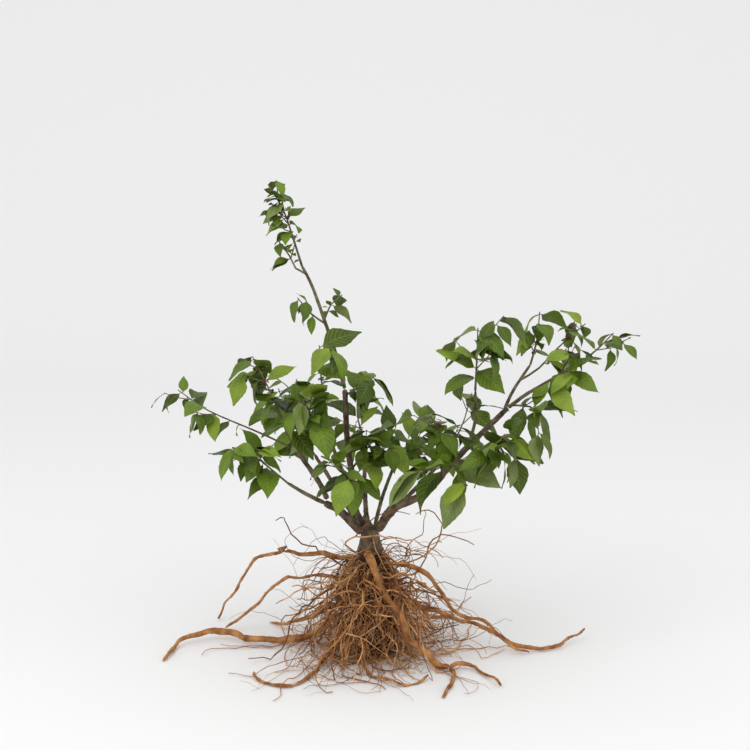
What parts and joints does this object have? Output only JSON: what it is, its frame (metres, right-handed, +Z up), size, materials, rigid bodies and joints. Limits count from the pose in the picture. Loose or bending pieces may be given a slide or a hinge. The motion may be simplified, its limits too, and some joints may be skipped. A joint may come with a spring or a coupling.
{
  "type": "bare-root beautyberry shrub",
  "caption": "Leafy open shrub with a tall side shoot and two spreading boughs, standing on its splayed bare roots and a core of dark soil.",
  "frame": {"origin": "on the flat underside of the root ball, below the root crown", "axes": "+Z up, +X to the right of the front view, the front view looks along +Y"},
  "size_m": [0.7362, 0.4962, 0.729],
  "materials": {
    "bark": "rough grey-brown bark",
    "root_skin": "dry orange-tan root skin",
    "soil": "dark crumbling soil and matted fine roots",
    "foliage": "satin green leaf"
  },
  "bodies": {
    "root": {"back_centre_limb": "bark", "back_left_limb": "bark", "back_right_limb": "bark", "leaves_back_centre": "foliage", "leaves_back_left": "foliage", "leaves_back_right": "foliage", "leaves_centre_front": "foliage", "leaves_centre_low": "foliage", "leaves_centre_up": "foliage", "leaves_left_inner": "foliage", "leaves_left_long": "foliage", "leaves_left_low": "foliage", "leaves_left_tip": "foliage", "leaves_right_end": "foliage", "leaves_right_front": "foliage", "leaves_right_inner": "foliage", "leaves_right_low": "foliage", "leaves_right_mid": "foliage", "leaves_right_outer": "foliage", "leaves_right_thin": "foliage", "leaves_right_upper": "foliage", "leaves_right_upper_tip": "foliage", "leaves_right_vertical": "foliage", "leaves_tall_left": "foliage", "leaves_tall_right": "foliage", "leaves_tall_side": "foliage", "leaves_tall_top": "foliage", "leaves_upright_side": "foliage", "leaves_upright_top": "foliage", "left_bough": "bark", "left_low_limb": "bark", "left_mid_limb": "bark", "right_bough": "bark", "right_outer_limb": "bark", "right_thin_limb": "bark", "right_upper_limb": "bark", "right_vertical_limb": "bark", "root_back_1": "root_skin", "root_back_2": "root_skin", "root_back_3": "root_skin", "root_back_4": "root_skin", "root_back_5": "root_skin", "root_ball": "soil", "root_bottom_thin": "root_skin", "root_crown": "bark", "root_front": "root_skin", "root_front_left": "root_skin", "root_front_right": "root_skin", "root_front_tip": "root_skin", "root_left_arch": "root_skin", "root_left_arch_end": "root_skin", "root_left_main": "root_skin", "root_left_second": "root_skin", "root_right_long": "root_skin", "root_right_upper": "root_skin", "tall_shoot_high": "bark", "tall_shoot_low": "bark", "upright_limb": "bark"}
  },
  "joints": []
}
